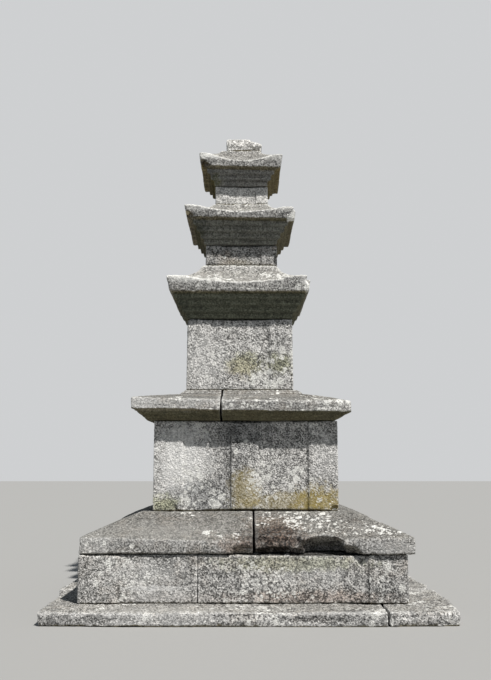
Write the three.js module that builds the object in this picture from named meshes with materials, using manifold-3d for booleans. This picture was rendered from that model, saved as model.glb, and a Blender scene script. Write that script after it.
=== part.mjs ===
// Three-storey granite pagoda on a double base of wall slabs and cover stones.
// Millimetres, +Z up, front towards -Y. The origin is under the middle of the ground stones.

import * as THREE from 'three';
import { mergeVertices } from 'three/addons/utils/BufferGeometryUtils.js';
import Module from 'manifold-3d';

const wasm = await Module();
wasm.setup();

// Heights of the courses, from the ground up
const GROUND_TOP = 84;
const LOWER_WALL_TOP = 372;
const LOWER_COVER_TOP = 606;
const UPPER_WALL_TOP = 1198;
const UPPER_COVER_TOP = 1425;
const FIRST_BODY_TOP = 1934;
const FIRST_ROOF_TOP = 2353;
const SECOND_BODY_TOP = 2506;
const SECOND_ROOF_TOP = 2841;
const THIRD_BODY_TOP = 2983;
const THIRD_ROOF_TOP = 3285;
const FINIAL_TOP = 3385;

// The old courses have slipped sideways on one another: the middle of each, along X
const LOWER_WALL_X = -23;
const LOWER_COVER_X = 2;
const UPPER_WALL_X = -5;
const UPPER_COVER_X = -35;
const FIRST_BODY_X = -47;
const FIRST_ROOF_X = -51;
const SECOND_BODY_X = -37;
const SECOND_ROOF_X = -44;
const THIRD_BODY_X = -36;
const THIRD_ROOF_X = -42;
const FINIAL_X = -18;

// Ground stones
const GROUND_HALF_X = 1265;
const GROUND_HALF_Y = 1258;
const GROUND_FRONT_LEFT_X = -1198;
const GROUND_CORE = 430;
const GROUND_GAP = 2;
const GROUND_FRONT_JOINT_X = 808;
const GROUND_BACK_JOINT_X = -200;

// Lower base: wall slabs with raised corner pillars, then four sloping cover stones
const LOWER_WALL_HALF = 1000;
const LOWER_WALL_THICK = 200;
const LOWER_PILLAR = 238;
const LOWER_RELIEF = 14;
const LOWER_FRONT_JOINT_X = -274;
const LOWER_BACK_JOINT_X = 240;
const WALL_GAP = 1;
const LOWER_COVER_HALF = 1020;
const LOWER_COVER_EAVE_TOP = 456;
const LOWER_COVER_SHELF_HALF = 684;
const LOWER_COVER_CORNER_LIFT = 16;
const LOWER_COVER_JOINT_X = 44;
const LOWER_COVER_SLIP = 16;
const COVER_GAP = 10;

// Upper base: wall slabs with corner and centre pillars, then two cover stones
const UPPER_WALL_HALF = 614;
const UPPER_WALL_THICK = 200;
const UPPER_PILLAR = 196;
const UPPER_CENTRE_PILLAR_HALF = 90;
const UPPER_CENTRE_PILLAR_X = -8;
const UPPER_RELIEF = 13;
const UPPER_COVER_HALF = 728;
const UPPER_COVER_EAVE_BOTTOM = 1259;
const UPPER_COVER_EAVE_TOP = 1330;
const UPPER_COVER_SLOPE_TOP = 1394;
const UPPER_COVER_DROOP = 0.0169;
const UPPER_COVER_JOINT_X = -171;
const SUPPORT_LOW = { half: 420, top: 1410 };
const SUPPORT_HIGH = { half: 398, top: UPPER_COVER_TOP };

// Storey bodies: half width at the foot and at the top, pillar width, relief
const FIRST_BODY = { foot: 378, top: 374, pillar: 166, relief: 9 };
const SECOND_BODY = { foot: 264, top: 262, pillar: 119, relief: 7 };
const THIRD_BODY = { foot: 198, top: 197, pillar: 92, relief: 6 };

// Roof stones: half widths of the underside steps, then eave, top seat and droop to the right.
// The eave leans out: its lower edge is tucked in, and its upper corners rise and flare.
const FIRST_ROOF = {
  steps: [384, 411, 438, 465], eaveBottom: 2106, eaveTop: 2180, eaveHalf: 499, eaveTuck: 9,
  seatHalf: 273, cornerLift: 46, cornerFlare: 18, droop: 0,
};
const SECOND_ROOF = {
  steps: [272, 298, 324, 350], eaveBottom: 2675, eaveTop: 2728, eaveHalf: 396, eaveTuck: 4,
  seatHalf: 208, cornerLift: 40, cornerFlare: 13, droop: 0.02,
};
const THIRD_ROOF = {
  steps: [204, 230, 256], eaveBottom: 3099, eaveTop: 3152, eaveHalf: 300, eaveTuck: 3,
  seatHalf: 148, cornerLift: 50, cornerFlare: 13, droop: 0.028,
};

// The hollow curve of a roof slope: share of the way in from the eave, share of the rise
const SLOPE_CURVE = [[0, 0], [0.25, 0.1], [0.5, 0.3], [0.7, 0.48], [0.85, 0.66], [0.93, 0.8], [1, 1]];
const EAVE_PARTS = 10;
const CORNER_SHARPNESS = 2;
const CORNER_PLATEAU = 0.8;

// Finial base: a square block with a wider rim
const FINIAL_HALF = 131;
const FINIAL_RIM_HALF = 136;
const FINIAL_RIM_BOTTOM = 3318;
const FINIAL_WEATHERED_EDGE = 8;

// Broken places: the stone, the middle of the bite taken out of it, and the bite's half sizes
const BITES = [
  ['lower_cover_front_left', [-20, -1012, 395], [90, 32, 34]],
  ['lower_cover_front_right', [170, -1050, 434], [172, 86, 98]],
  ['lower_cover_front_right', [360, -1040, 382], [110, 85, 82]],
  ['lower_cover_front_right', [500, -1040, 374], [130, 90, 86]],
  ['lower_cover_front_right', [620, -1035, 370], [90, 70, 60]],
  ['upper_wall_front', [-471, -619, 614], [22, 18, 30]],
  ['upper_wall_front', [585, -623, 618], [42, 28, 28]],
  ['first_body', [-431, -381, 1930], [36, 36, 50]],
  ['first_body', [316, -383, 1527], [12, 20, 14]],
  ['first_roof', [-562, -506, 2100], [32, 36, 30]],
  ['first_roof', [468, -524, 2236], [56, 66, 68]],
  ['second_body', [235, -269, 2376], [42, 45, 75]],
  ['second_roof', [-448, -404, 2672], [65, 60, 54]],
  ['second_roof', [374, -406, 2772], [32, 50, 45]],
  ['third_roof', [-361, -310, 3090], [62, 65, 66]],
  ['finial_base', [130, -130, 3395], [100, 80, 50]],
  ['finial_base', [70, -141, 3297], [60, 20, 14]],
];

const STONE = { roughness: 0.92, metalness: 0 };
const GROUND_COLOUR = 0x8c8780;
const WALL_COLOUR = 0xa29d97;
const COVER_COLOUR = 0x8f8a85;
const BODY_COLOUR = 0xb0aba5;
const ROOF_COLOUR = 0x9a9590;

const pagoda = new THREE.Group();
pagoda.name = 'pagoda';

function addStone(name, geometry, colour) {
  const material = new THREE.MeshStandardMaterial({ color: colour, ...STONE });
  material.name = name;
  const stone = new THREE.Mesh(bitten(name, geometry), material);
  stone.name = name;
  pagoda.add(stone);
}

// Solids

function toSolid(geometry) {
  const bare = new THREE.BufferGeometry();
  bare.setAttribute('position', geometry.getAttribute('position').clone());
  if (geometry.index) bare.setIndex(geometry.index.clone());
  const merged = mergeVertices(bare, 1e-3);
  return new wasm.Manifold(new wasm.Mesh({
    numProp: 3,
    vertProperties: new Float32Array(merged.getAttribute('position').array),
    triVerts: new Uint32Array(merged.index.array),
  }));
}

function toGeometry(solid) {
  const mesh = solid.getMesh();
  const geometry = new THREE.BufferGeometry();
  geometry.setAttribute('position', new THREE.BufferAttribute(mesh.vertProperties, 3));
  geometry.setIndex(new THREE.BufferAttribute(mesh.triVerts, 1));
  return geometry;
}

function bitten(name, geometry) {
  const bites = BITES.filter(([stone]) => stone === name);
  if (bites.length === 0) return geometry;
  let solid = toSolid(geometry);
  for (const [, place, size] of bites) {
    const bite = new THREE.IcosahedronGeometry(1, 1).scale(...size).translate(...place);
    solid = solid.subtract(toSolid(bite));
  }
  return toGeometry(solid);
}

function box(x0, x1, y0, y1, z0, z1) {
  const block = new THREE.BoxGeometry(x1 - x0, y1 - y0, z1 - z0);
  return block.translate((x0 + x1) / 2, (y0 + y1) / 2, (z0 + z1) / 2);
}

function prism(outline, z0, z1) {
  const shape = new THREE.Shape(outline.map(([x, y]) => new THREE.Vector2(x, y)));
  const block = new THREE.ExtrudeGeometry(shape, { depth: z1 - z0, bevelEnabled: false });
  return block.translate(0, 0, z0);
}

// A closed skin over level rings of points, given from the bottom up
function skin(rings) {
  const count = rings[0].length;
  const points = rings.flat();
  const faces = [];
  for (let r = 0; r < rings.length - 1; r += 1) {
    for (let i = 0; i < count; i += 1) {
      const a = r * count + i;
      const b = r * count + ((i + 1) % count);
      faces.push(a, b, b + count, a, b + count, a + count);
    }
  }
  const last = (rings.length - 1) * count;
  const bottom = points.length;
  const top = bottom + 1;
  points.push(middle(rings[0]), middle(rings[rings.length - 1]));
  for (let i = 0; i < count; i += 1) {
    const next = (i + 1) % count;
    faces.push(bottom, next, i, top, last + i, last + next);
  }
  const geometry = new THREE.BufferGeometry();
  geometry.setAttribute('position', new THREE.Float32BufferAttribute(points.flat(), 3));
  geometry.setIndex(faces);
  return geometry;
}

function middle(ring) {
  return [0, 1, 2].map((axis) => ring.reduce((sum, point) => sum + point[axis], 0) / ring.length);
}

// A square ring about the Z axis. Towards its corners it can rise by lift and spread by flare;
// droop lowers it towards +X.
function squareRing(half, z, { lift = 0, flare = 0, droop = 0 } = {}) {
  const ring = [];
  for (let side = 0; side < 4; side += 1) {
    const angle = (side * Math.PI) / 2;
    for (let i = 0; i < EAVE_PARTS; i += 1) {
      const along = -1 + (2 * i) / EAVE_PARTS;
      const corner = Math.min(Math.abs(along) / CORNER_PLATEAU, 1) ** CORNER_SHARPNESS;
      const reach = half + flare * corner;
      const x = along * reach * Math.cos(angle) + reach * Math.sin(angle);
      const y = along * reach * Math.sin(angle) - reach * Math.cos(angle);
      ring.push([x, y, z + lift * corner - droop * x]);
    }
  }
  return ring;
}

// Ground stones

function groundStones() {
  const gap = GROUND_GAP / 2;
  const frontEdge = -GROUND_CORE - gap;
  const backEdge = GROUND_CORE + gap;
  const stones = {
    front_left: [
      [GROUND_FRONT_LEFT_X, -1236], [-664, -GROUND_HALF_Y], [170, -1251],
      [GROUND_FRONT_JOINT_X - gap, -GROUND_HALF_Y],
      [GROUND_FRONT_JOINT_X + 28 - gap, frontEdge], [GROUND_FRONT_LEFT_X - 12, frontEdge],
    ],
    front_right: [
      [GROUND_FRONT_JOINT_X + gap, -1251], [1224, -1230], [GROUND_HALF_X, -832], [1255, -678],
      [1258, frontEdge - 8], [GROUND_FRONT_JOINT_X + 28 + gap, frontEdge - 2],
    ],
    right: [
      [GROUND_CORE, -GROUND_CORE + gap], [1218, -GROUND_CORE + gap + 10], [1258, -270],
      [1262, -196], [1237, -81], [1224, 126], [1230, backEdge - 2 * gap],
      [GROUND_CORE, GROUND_CORE - gap],
    ],
    left: [
      [-GROUND_HALF_X, -GROUND_CORE + gap + 14], [-GROUND_CORE, -GROUND_CORE + gap],
      [-GROUND_CORE, GROUND_CORE - gap], [-1234, GROUND_CORE - gap - 10],
    ],
    back_left: [
      [-1243, backEdge + 6], [GROUND_BACK_JOINT_X - gap, backEdge],
      [GROUND_BACK_JOINT_X - 20 - gap, 1240], [-860, GROUND_HALF_Y], [-1224, 1228],
    ],
    back_right: [
      [GROUND_BACK_JOINT_X + gap, backEdge], [1243, backEdge + 8], [1222, 1225],
      [380, GROUND_HALF_Y], [GROUND_BACK_JOINT_X - 20 + gap, 1245],
    ],
  };
  for (const [place, outline] of Object.entries(stones)) {
    addStone(`ground_stone_${place}`, prism(outline, 0, GROUND_TOP), GROUND_COLOUR);
  }
}

// Wall slabs. In its own place a slab runs along X and faces -Y; raised spans are its pillars.

function wallOutline(x0, x1, half, thick, relief, raised) {
  const front = [];
  let x = x0;
  const spans = raised.filter(([from, to]) => to > x0 && from < x1);
  for (const [from, to] of spans) {
    const start = Math.max(from, x0);
    const end = Math.min(to, x1);
    if (start > x) front.push([x, -half + relief], [start, -half + relief]);
    front.push([start, -half], [end, -half]);
    x = end;
  }
  if (x < x1) front.push([x, -half + relief], [x1, -half + relief]);
  return [...front, [x1, -half + thick], [x0, -half + thick]];
}

function addWall(name, outline, quarterTurns, centreX, z0, z1) {
  const slab = prism(outline, z0, z1);
  slab.rotateZ((quarterTurns * Math.PI) / 2);
  addStone(name, slab.translate(centreX, 0, 0), WALL_COLOUR);
}

function lowerWalls() {
  const half = LOWER_WALL_HALF;
  const gap = WALL_GAP / 2;
  const side = half - LOWER_WALL_THICK - WALL_GAP;
  const pillars = [[-half, -half + LOWER_PILLAR], [half - LOWER_PILLAR, half]];
  const slab = (x0, x1) => wallOutline(x0, x1, half, LOWER_WALL_THICK, LOWER_RELIEF, pillars);
  const place = [LOWER_WALL_X, GROUND_TOP, LOWER_WALL_TOP];
  addWall('lower_wall_front_left', slab(-half, LOWER_FRONT_JOINT_X - gap), 0, ...place);
  addWall('lower_wall_front_right', slab(LOWER_FRONT_JOINT_X + gap, half), 0, ...place);
  addWall('lower_wall_right', slab(-side, side), 1, ...place);
  addWall('lower_wall_back_right', slab(-half, -LOWER_BACK_JOINT_X - gap), 2, ...place);
  addWall('lower_wall_back_left', slab(-LOWER_BACK_JOINT_X + gap, half), 2, ...place);
  addWall('lower_wall_left', slab(-side, side), 3, ...place);
}

function upperWalls() {
  const half = UPPER_WALL_HALF;
  const side = half - UPPER_WALL_THICK - WALL_GAP;
  const centre = [-1, 1].map((side) => UPPER_CENTRE_PILLAR_X + side * UPPER_CENTRE_PILLAR_HALF);
  const pillars = [[-half, -half + UPPER_PILLAR], centre, [half - UPPER_PILLAR, half]];
  const slab = (x0, x1) => wallOutline(x0, x1, half, UPPER_WALL_THICK, UPPER_RELIEF, pillars);
  const place = [UPPER_WALL_X, LOWER_COVER_TOP, UPPER_WALL_TOP];
  addWall('upper_wall_front', slab(-half, half), 0, ...place);
  addWall('upper_wall_right', slab(-side, side), 1, ...place);
  addWall('upper_wall_back', slab(-half, half), 2, ...place);
  addWall('upper_wall_left', slab(-side, side), 3, ...place);
}

// Cover stones

function lowerCover() {
  const rise = LOWER_COVER_TOP - LOWER_COVER_EAVE_TOP;
  const run = LOWER_COVER_HALF - LOWER_COVER_SHELF_HALF;
  const slopeRing = (share, height) => squareRing(
    LOWER_COVER_HALF - run * share,
    LOWER_COVER_EAVE_TOP + rise * height,
    { lift: LOWER_COVER_CORNER_LIFT * (1 - share) },
  );
  const whole = toSolid(skin([
    squareRing(LOWER_COVER_HALF, LOWER_WALL_TOP),
    slopeRing(0, 0),
    slopeRing(0.4, 0.43),
    slopeRing(0.8, 0.83),
    slopeRing(1, 1),
  ]).translate(LOWER_COVER_X, 0, 0));
  const gap = COVER_GAP / 2;
  const far = LOWER_COVER_HALF + 100;
  const joint = LOWER_COVER_JOINT_X;
  const backJoint = -joint;
  const slip = LOWER_COVER_SLIP;
  const quarters = {
    front_left: [-far, joint - gap, -far, -gap - slip, slip],
    front_right: [joint + gap, far, -far, -gap, 0],
    back_left: [-far, backJoint - gap, gap, far, 0],
    back_right: [backJoint + gap, far, gap, far, 0],
  };
  for (const [place, [x0, x1, y0, y1, slipY]] of Object.entries(quarters)) {
    const block = toSolid(box(x0, x1, y0, y1, 0, 2 * LOWER_COVER_TOP));
    const quarter = toGeometry(whole.intersect(block)).translate(0, slipY, 0);
    addStone(`lower_cover_${place}`, quarter, COVER_COLOUR);
  }
}

function upperCover() {
  const droop = UPPER_COVER_DROOP;
  const bottom = UPPER_WALL_TOP;
  const eave = UPPER_COVER_HALF;
  const whole = toSolid(skin([
    squareRing(630, bottom),
    squareRing(651, bottom + 16, { droop: droop * 0.3 }),
    squareRing(685, bottom + 39, { droop: droop * 0.7 }),
    squareRing(704, UPPER_COVER_EAVE_BOTTOM, { droop }),
    squareRing(eave, UPPER_COVER_EAVE_BOTTOM, { droop }),
    squareRing(eave, UPPER_COVER_EAVE_TOP, { droop, lift: 8 }),
    squareRing(591, 1364, { droop: droop * 0.6, lift: 3 }),
    squareRing(SUPPORT_LOW.half, UPPER_COVER_SLOPE_TOP),
    squareRing(SUPPORT_LOW.half, SUPPORT_LOW.top),
    squareRing(SUPPORT_HIGH.half, SUPPORT_LOW.top),
    squareRing(SUPPORT_HIGH.half, SUPPORT_HIGH.top),
  ]).translate(UPPER_COVER_X, 0, 0));
  const gap = COVER_GAP / 2;
  const far = eave + 100;
  const left = toSolid(box(-far, UPPER_COVER_JOINT_X - gap, -far, far, 0, 2 * UPPER_COVER_TOP));
  const right = toSolid(box(UPPER_COVER_JOINT_X + gap, far, -far, far, 0, 2 * UPPER_COVER_TOP));
  addStone('upper_cover_left', toGeometry(whole.intersect(left)), COVER_COLOUR);
  addStone('upper_cover_right', toGeometry(whole.intersect(right)), COVER_COLOUR);
}

// Storey bodies: square blocks whose corner pillars stand a little proud of the panels

function storeyBody(name, { foot, top, pillar, relief }, centreX, z0, z1) {
  const inner = foot - pillar;
  const outline = [];
  for (let side = 0; side < 4; side += 1) {
    const angle = (side * Math.PI) / 2;
    const cos = Math.cos(angle);
    const sin = Math.sin(angle);
    const corners = [
      [-foot, -foot], [-inner, -foot], [-inner, -foot + relief],
      [inner, -foot + relief], [inner, -foot],
    ];
    for (const [x, y] of corners) outline.push([x * cos - y * sin, x * sin + y * cos]);
  }
  const block = prism(outline, z0, z1);
  const position = block.getAttribute('position');
  for (let i = 0; i < position.count; i += 1) {
    const share = (position.getZ(i) - z0) / (z1 - z0);
    const shrink = 1 + share * (top / foot - 1);
    position.setXY(i, position.getX(i) * shrink, position.getY(i) * shrink);
  }
  addStone(name, block.translate(centreX, 0, 0), BODY_COLOUR);
}

// Roof stones: stepped underside, upright eave, hollow slope up to the seat of the next body

function roofStone(name, roof, centreX, bottom, top) {
  const rings = [];
  roof.steps.forEach((half, i) => {
    const rise = (roof.eaveBottom - bottom) / roof.steps.length;
    const share = 1 / roof.steps.length;
    rings.push(squareRing(half, bottom + rise * i, { droop: roof.droop * share * i }));
    rings.push(squareRing(half, bottom + rise * (i + 1), { droop: roof.droop * share * (i + 1) }));
  });
  const eaveFoot = roof.eaveHalf - roof.eaveTuck;
  rings.push(squareRing(eaveFoot, roof.eaveBottom, { droop: roof.droop }));
  for (const [share, height] of SLOPE_CURVE) {
    const fade = 1 - share;
    rings.push(squareRing(
      roof.eaveHalf + (roof.seatHalf - roof.eaveHalf) * share,
      roof.eaveTop + (top - roof.eaveTop) * height,
      { lift: roof.cornerLift * fade ** 1.5, flare: roof.cornerFlare * fade, droop: roof.droop * fade },
    ));
  }
  addStone(name, skin(rings).translate(centreX, 0, 0), ROOF_COLOUR);
}

function finialBase() {
  const edge = FINIAL_WEATHERED_EDGE;
  addStone('finial_base', skin([
    squareRing(FINIAL_HALF, THIRD_ROOF_TOP),
    squareRing(FINIAL_HALF, FINIAL_RIM_BOTTOM),
    squareRing(FINIAL_RIM_HALF, FINIAL_RIM_BOTTOM + edge),
    squareRing(FINIAL_RIM_HALF, FINIAL_TOP - edge),
    squareRing(FINIAL_RIM_HALF - edge, FINIAL_TOP),
  ]).translate(FINIAL_X, 0, 0), ROOF_COLOUR);
}

groundStones();
lowerWalls();
lowerCover();
upperWalls();
upperCover();
storeyBody('first_body', FIRST_BODY, FIRST_BODY_X, UPPER_COVER_TOP, FIRST_BODY_TOP);
roofStone('first_roof', FIRST_ROOF, FIRST_ROOF_X, FIRST_BODY_TOP, FIRST_ROOF_TOP);
storeyBody('second_body', SECOND_BODY, SECOND_BODY_X, FIRST_ROOF_TOP, SECOND_BODY_TOP);
roofStone('second_roof', SECOND_ROOF, SECOND_ROOF_X, SECOND_BODY_TOP, SECOND_ROOF_TOP);
storeyBody('third_body', THIRD_BODY, THIRD_BODY_X, SECOND_ROOF_TOP, THIRD_BODY_TOP);
roofStone('third_roof', THIRD_ROOF, THIRD_ROOF_X, THIRD_BODY_TOP, THIRD_ROOF_TOP);
finialBase();

export default pagoda;
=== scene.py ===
import math

import bmesh
import bpy
from bpy.props import FloatProperty, FloatVectorProperty, PointerProperty
from mathutils import Matrix, Vector, noise


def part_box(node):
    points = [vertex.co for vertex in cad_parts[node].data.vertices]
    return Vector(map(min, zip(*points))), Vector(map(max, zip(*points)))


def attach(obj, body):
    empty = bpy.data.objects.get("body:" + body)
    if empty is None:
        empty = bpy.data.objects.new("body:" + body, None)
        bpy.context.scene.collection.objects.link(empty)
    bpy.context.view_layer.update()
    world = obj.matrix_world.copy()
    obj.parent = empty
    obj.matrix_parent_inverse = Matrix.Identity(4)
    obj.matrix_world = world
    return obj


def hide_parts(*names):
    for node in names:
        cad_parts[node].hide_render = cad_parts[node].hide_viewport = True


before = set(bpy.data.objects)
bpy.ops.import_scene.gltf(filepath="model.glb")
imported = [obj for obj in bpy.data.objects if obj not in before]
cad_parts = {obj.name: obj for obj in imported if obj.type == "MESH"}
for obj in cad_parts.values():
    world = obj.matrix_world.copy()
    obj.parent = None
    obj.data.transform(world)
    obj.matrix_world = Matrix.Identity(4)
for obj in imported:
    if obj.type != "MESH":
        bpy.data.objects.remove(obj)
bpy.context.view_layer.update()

bl_info = {
    "name": "Weathered granite pagoda",
    "version": (1, 0, 0),
    "blender": (4, 5, 0),
    "location": "3D View > Sidebar > Pagoda",
    "description": "Carves, breaks and weathers the stones of a three-storey granite pagoda",
    "category": "Object",
}

# The camera stands in front of the pagoda and looks up a little. Its focal length and the height
# by which the horizon lies below the middle are in pixels of a picture 680 high.
CAMERA_PLACE = (-0.007, -5.925, 0.938)
FOCAL_PIXELS = 790
HORIZON_PIXELS = 120
PICTURE_HEIGHT = 680
SENSOR = 36.0

# The key light, in degrees above the ground, to the right of the front and across, and the sky
KEY_HEIGHT = 57.0
KEY_SIDE = 37.0
KEY_SPREAD = 1.2
KEY_STRENGTH = 6.4
KEY_COLOUR = (1.0, 0.97, 0.93)
SKY_STRENGTH = 0.28
SKY_COLOUR = (0.80, 0.90, 1.0, 1.0)
BACKDROP_COLOUR = (0.62, 0.63, 0.64, 1.0)
FLOOR_COLOUR = (0.26, 0.26, 0.255, 1.0)
FLOOR_HALF = 30.0

# Courses of stones, from the ground up: the material slot, the size of a stone's cells in metres,
# how far its arrises are worn and over how many cells, its chips, and in metres how deep its faces
# swell, are pitted and are bedded
COURSE_COLUMNS = ("slot", "cell", "edge", "reach", "chips", "swell", "grain", "bedding")
COURSES = {course: dict(zip(COURSE_COLUMNS, row)) for course, row in (
    ("ground_stone", ("ground_granite", 0.013, 0.5, 2, 0.35, 0.012, 0.004, 0.008)),
    ("lower_wall", ("wall_granite", 0.008, 0.12, 2, 0.2, 0.006, 0.0025, 0.001)),
    ("lower_cover", ("cover_granite", 0.009, 0.3, 3, 0.3, 0.012, 0.0035, 0.003)),
    ("upper_wall", ("wall_granite", 0.0065, 0.35, 2, 0.25, 0.004, 0.0025, 0.0)),
    ("upper_cover", ("cover_granite", 0.008, 0.45, 3, 0.35, 0.006, 0.0025, 0.004)),
    ("first_body", ("body_granite", 0.0065, 0.4, 2, 0.3, 0.004, 0.003, 0.0)),
    ("first_roof", ("roof_granite", 0.0085, 0.7, 3, 0.6, 0.005, 0.003, 0.002)),
    ("second_body", ("body_granite", 0.007, 0.5, 2, 0.6, 0.004, 0.0028, 0.0)),
    ("second_roof", ("roof_granite", 0.0075, 0.7, 3, 0.6, 0.005, 0.003, 0.002)),
    ("third_body", ("body_granite", 0.006, 0.5, 2, 0.5, 0.003, 0.0024, 0.0)),
    ("third_roof", ("roof_granite", 0.0065, 0.7, 3, 0.6, 0.004, 0.0026, 0.002)),
    ("finial_base", ("roof_granite", 0.0055, 0.8, 3, 0.6, 0.003, 0.0024, 0.0)),
)}

# Roof stones: the sizes in metres of the rule that their shape follows. Lift Fade is the power by
# which the corner lift dies out up the slope, and Droop is metres for each metre to the right.
ROOF_SIZES = (
    "Middle X", "Step Count", "First Step", "Step Inset", "Underside",
    "Eave Bottom", "Eave Top", "Top", "Eave Half", "Eave Tuck",
    "Seat Half", "Corner Lift", "Lift Fade", "Corner Flare", "Droop",
)
ROOFS = {
    "first_roof": (
        -0.051, 4.0, 0.384, 0.027, 1.934,
        2.106, 2.18, 2.353, 0.499, 0.009,
        0.273, 0.046, 1.5, 0.018, 0.0,
    ),
    "second_roof": (
        -0.044, 4.0, 0.272, 0.026, 2.506,
        2.675, 2.728, 2.841, 0.396, 0.004,
        0.208, 0.04, 1.3, 0.013, 0.02,
    ),
    "third_roof": (
        -0.042, 3.0, 0.204, 0.026, 2.983,
        3.099, 3.152, 3.285, 0.3, 0.003,
        0.148, 0.05, 0.6, 0.013, 0.028,
    ),
}

# How the slope rises from the eave to the seat, where along a side the corner's lift is full, the
# faces along a side and up the slope, and the distance within which points are joined
SLOPE_CURVE = ((0, 0), (0.25, 0.1), (0.5, 0.3), (0.7, 0.48), (0.85, 0.66), (0.93, 0.8), (1, 1))
CORNER_SHARPNESS = 2.0
CORNER_PLATEAU = 0.8
SIDE_PARTS = 24
SLOPE_PARTS = 16
ROOF_SEAM = 0.0001

# Noise patterns of the shapes: features for each metre, detail and roughness, and for the beds how
# far noise is squeezed across, in depth and in height
EDGE_WEAR = (9.0, 3.0, 0.6)
CHIPPING = (11.0, 4.0, 0.7)
SWELLS = (4.0, 3.0, 0.5)
PITTED_SKIN = (72.0, 2.0, 0.6)
BEDS_IN_STONE = (2.2, 2.2, 26.0)

# How far smoothing moves a point, in metres, where an arris begins to be marked and is marked fully
ARRIS_MOVES = (0.0004, 0.0022)
CAD_SEAM = 0.00002
SEED_STEP = 1.37

# Broken places of each stone: the middle of the break and its half sizes, in metres. Breaks in
# the lower cover are squarer and less rough than the others.
LUMP_ROUNDS = 4
LUMP_FINENESS = 1.6
ROUND_BREAK = {"squareness": 1.0, "roughness": 0.3}
SQUARE_BREAK = {"squareness": 0.62, "roughness": 0.16}
BREAKS = {
    "finial_base": (
        ((0.13, -0.13, 3.395), (0.1, 0.08, 0.05)),
        ((0.07, -0.141, 3.297), (0.06, 0.02, 0.014)),
        ((-0.018, -0.134, 3.285), (0.15, 0.02, 0.009)),
    ),
    "first_roof": (
        ((-0.562, -0.506, 2.1), (0.032, 0.036, 0.03)),
        ((0.502, -0.53, 2.228), (0.082, 0.21, 0.094)),
    ),
    "second_roof": (
        ((-0.442, -0.408, 2.668), (0.064, 0.068, 0.06)),
        ((0.39, -0.412, 2.772), (0.056, 0.15, 0.062)),
    ),
    "third_roof": (
        ((-0.355, -0.32, 3.09), (0.075, 0.075, 0.075)),
        ((-0.3, -0.325, 3.085), (0.04, 0.055, 0.066)),
    ),
    "first_body": (
        ((-0.047, -0.376, 1.936), (0.35, 0.03, 0.014)),
        ((-0.428, -0.38, 1.922), (0.034, 0.04, 0.034)),
        ((-0.25, -0.378, 1.42), (0.17, 0.024, 0.007)),
    ),
    "second_body": (((-0.037, -0.264, 2.507), (0.25, 0.026, 0.013)),),
    "third_body": (((-0.036, -0.198, 2.984), (0.19, 0.024, 0.011)),),
    "upper_wall_front": (
        ((-0.005, -0.616, 0.606), (0.6, 0.03, 0.012)),
        ((-0.005, -0.618, 1.198), (0.6, 0.03, 0.013)),
    ),
    "lower_wall_front_left": (
        ((-0.64, -1.002, 0.082), (0.35, 0.018, 0.006)),
        ((-0.64, -1.004, 0.372), (0.4, 0.026, 0.015)),
    ),
    "lower_wall_front_right": (
        ((0.33, -1.002, 0.082), (0.6, 0.018, 0.006)),
        ((0.33, -0.975, 0.372), (0.62, 0.055, 0.009)),
    ),
    "lower_cover_front_left": (((-0.02, -1.014, 0.37), (0.08, 0.048, 0.024)),),
    "lower_cover_front_right": (
        ((0.1, -1.0, 0.462), (0.045, 0.04, 0.028)),
        ((0.2, -0.99, 0.47), (0.05, 0.036, 0.03)),
        ((0.29, -1.0, 0.455), (0.04, 0.04, 0.04)),
        ((0.205, -0.995, 0.366), (0.17, 0.085, 0.044)),
        ((0.465, -1.02, 0.376), (0.135, 0.1, 0.098)),
        ((0.475, -0.96, 0.366), (0.135, 0.11, 0.08)),
        ((0.605, -1.02, 0.364), (0.072, 0.07, 0.044)),
    ),
}


# Node trees

class Board:
    """A node tree being laid out, with short ways to add its nodes and join them."""

    def __init__(self, tree):
        self.tree = tree

    def feed(self, socket, value):
        if isinstance(value, bpy.types.NodeSocket):
            self.tree.links.new(value, socket)
        elif value is not None:
            socket.default_value = value

    def add(self, kind, inputs=None, **settings):
        node = self.tree.nodes.new(kind)
        for name, value in settings.items():
            setattr(node, name, value)
        for key, value in (inputs or {}).items():
            fitting = (s for s in node.inputs if s.name == key and s.enabled)
            self.feed(node.inputs[key] if isinstance(key, int) else next(fitting), value)
        return node

    def math(self, operation, *values, clamp=False):
        node = self.add(
            "ShaderNodeMath", dict(enumerate(values)), operation=operation, use_clamp=clamp)
        return node.outputs[0]

    def times(self, first, second):
        return self.math("MULTIPLY", first, second)

    def plus(self, first, second):
        return self.math("ADD", first, second)

    def minus(self, first, second):
        return self.math("SUBTRACT", first, second)

    def vector(self, operation, *values):
        node = self.add("ShaderNodeVectorMath", dict(enumerate(values)), operation=operation)
        return next(s for s in node.outputs if s.enabled)

    def scaled(self, vector, amount):
        node = self.add("ShaderNodeVectorMath", {0: vector, "Scale": amount}, operation="SCALE")
        return node.outputs[0]

    def noise(self, vector, scale, detail=2.0, roughness=0.5, distortion=0.0):
        return self.add("ShaderNodeTexNoise", {
            "Vector": vector, "Scale": scale, "Detail": detail, "Roughness": roughness,
            "Distortion": distortion,
        }).outputs[0]

    def ramp(self, value, low, high, start=0.0, end=1.0):
        inputs = dict(enumerate((value, low, high, start, end)))
        node = self.add("ShaderNodeMapRange", inputs, interpolation_type="SMOOTHSTEP")
        return node.outputs[0]

    def tint(self, base, colour, amount, blend="MIX"):
        node = self.add(
            "ShaderNodeMix", {0: amount, 6: base, 7: colour}, data_type="RGBA", blend_type=blend)
        return node.outputs[2]


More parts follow.
